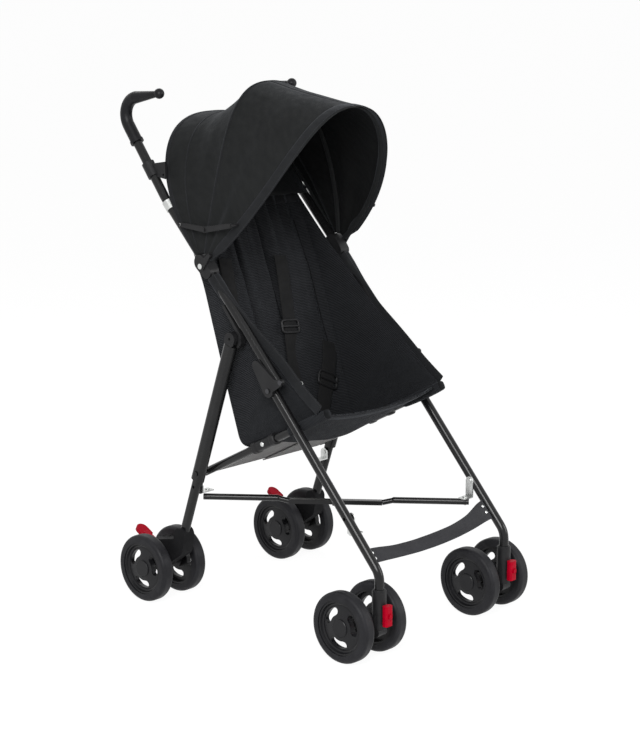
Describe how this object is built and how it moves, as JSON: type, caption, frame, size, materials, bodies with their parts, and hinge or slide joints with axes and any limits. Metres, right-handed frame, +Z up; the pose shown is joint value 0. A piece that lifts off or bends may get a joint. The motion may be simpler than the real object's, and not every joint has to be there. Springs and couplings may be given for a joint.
{
  "type": "umbrella stroller",
  "caption": "Folding umbrella stroller with hooked handles, sling seat, hinged canopy, crossed struts and twin swivelling front wheels.",
  "frame": {"origin": "on the floor under the middle of the outline", "axes": "+X across to the child's left, -Y to the front, +Z up"},
  "size_m": [0.514, 0.7314, 1.0625],
  "materials": {
    "frame_tube": "gloss black paint",
    "moulding": "satin",
    "zinc": "zinc plated",
    "wheel_tread": "matte",
    "grip_foam": "matte",
    "signal_red": "gloss",
    "canopy_cloth": "woven",
    "seat_cloth": "woven",
    "webbing": "ribbed webbing"
  },
  "bodies": {
    "left_frame": {"push_tube_left": "frame_tube", "front_leg_left": "frame_tube", "handle_grip_left": "grip_foam", "tube_clamps_left": "moulding", "joint_castings_left": "moulding", "caster_housing_left": "moulding", "frame_fittings_left": "zinc", "canopy_fabric": "canopy_cloth", "canopy_rear_bow": "moulding", "seat_sling": "seat_cloth", "harness_straps": "webbing", "harness_sliders": "moulding", "footrest": "webbing"},
    "right_frame": {"push_tube_right": "frame_tube", "front_leg_right": "frame_tube", "handle_grip_right": "grip_foam", "tube_clamps_right": "moulding", "joint_castings_right": "moulding", "caster_housing_right": "moulding", "frame_fittings_right": "zinc"},
    "rail_left": {"seat_rail_left": "frame_tube"},
    "back_leg_left": {"rear_leg_left": "frame_tube", "rear_leg_head_left": "moulding", "rear_housing_left": "moulding"},
    "front_tab_left": {"front_bracket_left": "zinc"},
    "bar_left": {"cross_bar_left": "frame_tube"},
    "rear_tab_left": {"rear_bracket_left": "zinc"},
    "caster_left": {"caster_fork_left": "moulding"},
    "front_wheels_left": {"front_tyres_left": "wheel_tread", "front_rims_left": "moulding", "front_axle_left": "zinc"},
    "rear_wheels_left": {"rear_tyres_left": "wheel_tread", "rear_rims_left": "moulding", "rear_axle_left": "zinc"},
    "lock_left": {"swivel_lock_left": "signal_red"},
    "pedal_left": {"brake_pedal_left": "signal_red"},
    "rail_right": {"seat_rail_right": "frame_tube"},
    "back_leg_right": {"rear_leg_right": "frame_tube", "rear_leg_head_right": "moulding", "rear_housing_right": "moulding"},
    "front_tab_right": {"front_bracket_right": "zinc"},
    "bar_right": {"cross_bar_right": "frame_tube"},
    "rear_tab_right": {"rear_bracket_right": "zinc"},
    "caster_right": {"caster_fork_right": "moulding"},
    "front_wheels_right": {"front_tyres_right": "wheel_tread", "front_rims_right": "moulding", "front_axle_right": "zinc"},
    "rear_wheels_right": {"rear_tyres_right": "wheel_tread", "rear_rims_right": "moulding", "rear_axle_right": "zinc"},
    "lock_right": {"swivel_lock_right": "signal_red"},
    "pedal_right": {"brake_pedal_right": "signal_red"},
    "canopy_front": {"canopy_front_bow": "moulding", "canopy_foot_left": "moulding"},
    "canopy_front_right": {"canopy_foot_right": "moulding"},
    "canopy_middle": {"canopy_middle_bow": "moulding"},
    "stay_rear_left": {"stretcher_rear_link_left": "moulding"},
    "stay_front_left": {"stretcher_front_link_left": "moulding"},
    "stay_rear_right": {"stretcher_rear_link_right": "moulding"},
    "stay_front_right": {"stretcher_front_link_right": "moulding"}
  },
  "joints": [
    {"name": "fold", "type": "slide", "parent": "left_frame", "child": "right_frame", "axis": [-1, 0, 0], "range_m": [0, 0.09], "deforming": ["canopy_fabric", "canopy_front_bow", "canopy_middle_bow", "canopy_rear_bow", "seat_sling", "harness_straps", "harness_sliders", "footrest"]},
    {"name": "rail_pivot_left", "type": "hinge", "parent": "left_frame", "child": "rail_left", "pos_m": [-0.171, -0.11711, 0.42116], "axis": [1, 0, 0], "range_deg": [0, 65]},
    {"name": "leg_pivot_left", "type": "hinge", "parent": "rail_left", "child": "back_leg_left", "pos_m": [-0.197, 0.1452, 0.28402], "axis": [1, 0, 0], "range_deg": [-124.5, 0]},
    {"name": "front_tab_pivot_left", "type": "hinge", "parent": "left_frame", "child": "front_tab_left", "pos_m": [-0.18, -0.25361, 0.26687], "axis": [1, 0, 0], "range_deg": [0, 42.6]},
    {"name": "bar_pivot_left", "type": "hinge", "parent": "front_tab_left", "child": "bar_left", "pos_m": [-0.165, -0.25361, 0.226], "axis": [0, 0, 1], "range_deg": [0, 12.4]},
    {"name": "rear_tab_pivot_left", "type": "hinge", "parent": "back_leg_left", "child": "rear_tab_left", "pos_m": [-0.186, 0.15557, 0.25374], "axis": [1, 0, 0], "range_deg": [0, 102.1]},
    {"name": "swivel_left", "type": "hinge", "parent": "left_frame", "child": "caster_left", "pos_m": [-0.19, -0.33578, 0.11], "axis": [0, 0, 1], "continuous": true},
    {"name": "front_roll_left", "type": "hinge", "parent": "caster_left", "child": "front_wheels_left", "pos_m": [-0.19, -0.28678, 0.07], "axis": [1, 0, 0], "continuous": true},
    {"name": "rear_roll_left", "type": "hinge", "parent": "back_leg_left", "child": "rear_wheels_left", "pos_m": [-0.197, 0.25922, 0.07], "axis": [1, 0, 0], "continuous": true},
    {"name": "lock_slide_left", "type": "slide", "parent": "left_frame", "child": "lock_left", "axis": [0, 0, 1], "range_m": [0, 0.008]},
    {"name": "brake_left", "type": "hinge", "parent": "back_leg_left", "child": "pedal_left", "pos_m": [-0.197, 0.28522, 0.108], "axis": [1, 0, 0], "range_deg": [-25, 0]},
    {"name": "rail_pivot_right", "type": "hinge", "parent": "right_frame", "child": "rail_right", "pos_m": [0.171, -0.11711, 0.42116], "axis": [1, 0, 0], "range_deg": [0, 65]},
    {"name": "leg_pivot_right", "type": "hinge", "parent": "rail_right", "child": "back_leg_right", "pos_m": [0.197, 0.1452, 0.28402], "axis": [1, 0, 0], "range_deg": [-124.5, 0]},
    {"name": "front_tab_pivot_right", "type": "hinge", "parent": "right_frame", "child": "front_tab_right", "pos_m": [0.18, -0.25361, 0.26687], "axis": [1, 0, 0], "range_deg": [0, 42.6]},
    {"name": "bar_pivot_right", "type": "hinge", "parent": "front_tab_right", "child": "bar_right", "pos_m": [0.165, -0.25361, 0.226], "axis": [0, 0, 1], "range_deg": [-12.4, 0]},
    {"name": "rear_tab_pivot_right", "type": "hinge", "parent": "back_leg_right", "child": "rear_tab_right", "pos_m": [0.186, 0.15557, 0.25374], "axis": [1, 0, 0], "range_deg": [0, 102.1]},
    {"name": "swivel_right", "type": "hinge", "parent": "right_frame", "child": "caster_right", "pos_m": [0.19, -0.33578, 0.11], "axis": [0, 0, 1], "continuous": true},
    {"name": "front_roll_right", "type": "hinge", "parent": "caster_right", "child": "front_wheels_right", "pos_m": [0.19, -0.28678, 0.07], "axis": [1, 0, 0], "continuous": true},
    {"name": "rear_roll_right", "type": "hinge", "parent": "back_leg_right", "child": "rear_wheels_right", "pos_m": [0.197, 0.25922, 0.07], "axis": [1, 0, 0], "continuous": true},
    {"name": "lock_slide_right", "type": "slide", "parent": "right_frame", "child": "lock_right", "axis": [0, 0, 1], "range_m": [0, 0.008]},
    {"name": "brake_right", "type": "hinge", "parent": "back_leg_right", "child": "pedal_right", "pos_m": [0.197, 0.28522, 0.108], "axis": [1, 0, 0], "range_deg": [-25, 0]},
    {"name": "canopy_fold", "type": "hinge", "parent": "left_frame", "child": "canopy_front", "pos_m": [-0.19, 0.12381, 0.71118], "axis": [1, 0, 0], "range_deg": [-58, 0], "deforming": ["canopy_fabric"]},
    {"name": "canopy_foot_pivot_right", "type": "hinge", "parent": "right_frame", "child": "canopy_front_right", "pos_m": [0.19, 0.12381, 0.71118], "axis": [1, 0, 0], "range_deg": [-58.5, 0]},
    {"name": "middle_bow_pivot", "type": "hinge", "parent": "left_frame", "child": "canopy_middle", "pos_m": [-0.19, 0.12381, 0.71118], "axis": [1, 0, 0], "range_deg": [-29.5, 0]},
    {"name": "stay_pivot_left", "type": "hinge", "parent": "left_frame", "child": "stay_rear_left", "pos_m": [-0.2045, 0.18415, 0.7884], "axis": [1, 0, 0], "range_deg": [0, 13.92]},
    {"name": "stay_knuckle_left", "type": "hinge", "parent": "stay_rear_left", "child": "stay_front_left", "pos_m": [-0.2065, 0.11091, 0.78539], "axis": [1, 0, 0], "range_deg": [-124.89, 0]},
    {"name": "stay_pivot_right", "type": "hinge", "parent": "right_frame", "child": "stay_rear_right", "pos_m": [0.2045, 0.18415, 0.7884], "axis": [1, 0, 0], "range_deg": [0, 13.92]},
    {"name": "stay_knuckle_right", "type": "hinge", "parent": "stay_rear_right", "child": "stay_front_right", "pos_m": [0.2065, 0.11091, 0.78539], "axis": [1, 0, 0], "range_deg": [-124.89, 0]}
  ],
  "couplings": [
    {"joint": "rail_pivot_left", "follows": "fold", "rad_per_m": 12.508},
    {"joint": "leg_pivot_left", "follows": "fold", "rad_per_m": -24.047},
    {"joint": "front_tab_pivot_left", "follows": "fold", "rad_per_m": 8.1643},
    {"joint": "bar_pivot_left", "follows": "fold", "rad_per_m": 2.3077},
    {"joint": "rear_tab_pivot_left", "follows": "fold", "rad_per_m": 19.703},
    {"joint": "rail_pivot_right", "follows": "fold", "rad_per_m": 12.508},
    {"joint": "leg_pivot_right", "follows": "fold", "rad_per_m": -24.047},
    {"joint": "front_tab_pivot_right", "follows": "fold", "rad_per_m": 8.1643},
    {"joint": "bar_pivot_right", "follows": "fold", "rad_per_m": -2.3077},
    {"joint": "rear_tab_pivot_right", "follows": "fold", "rad_per_m": 19.703},
    {"joint": "canopy_foot_pivot_right", "follows": "canopy_fold", "ratio": 1},
    {"joint": "middle_bow_pivot", "follows": "canopy_fold", "ratio": 0.5},
    {"joint": "stay_pivot_left", "follows": "canopy_fold", "ratio": -0.23145},
    {"joint": "stay_knuckle_left", "follows": "canopy_fold", "ratio": 2.1447},
    {"joint": "stay_pivot_right", "follows": "canopy_fold", "ratio": -0.23145},
    {"joint": "stay_knuckle_right", "follows": "canopy_fold", "ratio": 2.1447}
  ]
}
